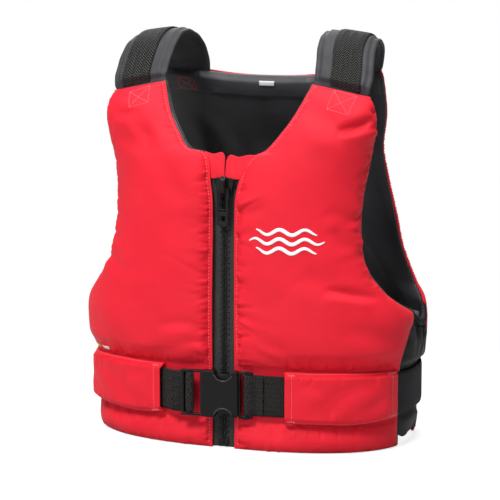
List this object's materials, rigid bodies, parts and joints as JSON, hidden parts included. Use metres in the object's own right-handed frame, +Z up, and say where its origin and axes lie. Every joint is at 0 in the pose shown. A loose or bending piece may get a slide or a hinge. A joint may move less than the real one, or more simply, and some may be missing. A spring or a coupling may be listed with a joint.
{
  "type": "life jacket",
  "caption": "Kayaking buoyancy aid with padded front and back, front zip, stretch sides, padded shoulders and a waist belt with a side-release buckle.",
  "frame": {"origin": "middle of the garment's box at hem level", "axes": "+Z up from hem to shoulders, front faces -Y, wearer's left is +X"},
  "size_m": [0.4088, 0.257, 0.4831],
  "materials": {
    "red_nylon": "woven nylon, slight sheen",
    "foam": "closed-cell buoyancy foam",
    "lining": "smooth woven polyester",
    "stretch_side": "stretch knit",
    "elastic": "gathered elastic casing",
    "shoulder_cloth": "woven polyester over thin foam",
    "webbing": "ribbed polyester webbing",
    "zip_tape": "woven zip tape",
    "zip_plastic": "moulded acetal",
    "buckle_plastic": "moulded acetal, fine grain",
    "label": "plain woven label"
  },
  "bodies": {
    "garment": {"front_cover_right": "red_nylon", "front_cover_left": "red_nylon", "foam_front_right": "foam", "foam_front_left": "foam", "lining_front_right": "lining", "lining_front_left": "lining", "back_cover": "red_nylon", "foam_back": "foam", "lining_back": "lining", "zip_facing_right": "red_nylon", "zip_facing_left": "red_nylon", "side_panel_right": "stretch_side", "side_panel_left": "stretch_side", "armhole_elastic_right": "elastic", "armhole_elastic_left": "elastic", "shoulder_pad_right": "shoulder_cloth", "shoulder_pad_left": "shoulder_cloth", "shoulder_webbing_right": "webbing", "shoulder_webbing_left": "webbing", "belt_tunnel_right": "red_nylon", "belt_tunnel_left": "red_nylon", "belt_webbing_back": "webbing", "belt_webbing_right": "webbing", "zip_tape_right": "zip_tape", "zip_tape_left": "zip_tape", "zip_teeth_right": "zip_plastic", "zip_teeth_left": "zip_plastic", "zip_top_stops": "zip_plastic", "zip_retainer": "zip_plastic", "buckle_housing": "buckle_plastic", "collar_label": "label"},
    "slider": {"zip_slider": "zip_plastic"},
    "puller": {"zip_puller": "zip_plastic"},
    "tongue": {"buckle_tongue_frame": "buckle_plastic", "belt_webbing_left": "webbing"},
    "prong_upper": {"buckle_prong_upper": "buckle_plastic"},
    "prong_lower": {"buckle_prong_lower": "buckle_plastic"}
  },
  "joints": [
    {"name": "zip_run", "type": "slide", "parent": "garment", "child": "slider", "axis": [0, -0.0175, -0.9998], "range_m": [0, 0.16]},
    {"name": "puller_swing", "type": "hinge", "parent": "slider", "child": "puller", "pos_m": [0, -0.11213, 0.30228], "axis": [-1, 0, 0], "range_deg": [0, 150]},
    {"name": "tongue_pull", "type": "slide", "parent": "garment", "child": "tongue", "axis": [0.9945, 0.1045, 0], "range_m": [0, 0.036]},
    {"name": "prong_upper_squeeze", "type": "hinge", "parent": "tongue", "child": "prong_upper", "pos_m": [0.01889, -0.11891, 0.081], "axis": [0.1045, -0.9945, 0], "range_deg": [0, 8], "stiffness_Nm_per_rad": 1},
    {"name": "prong_lower_squeeze", "type": "hinge", "parent": "tongue", "child": "prong_lower", "pos_m": [0.01889, -0.11891, 0.051], "axis": [-0.1045, 0.9945, 0], "range_deg": [0, 8], "stiffness_Nm_per_rad": 1}
  ]
}
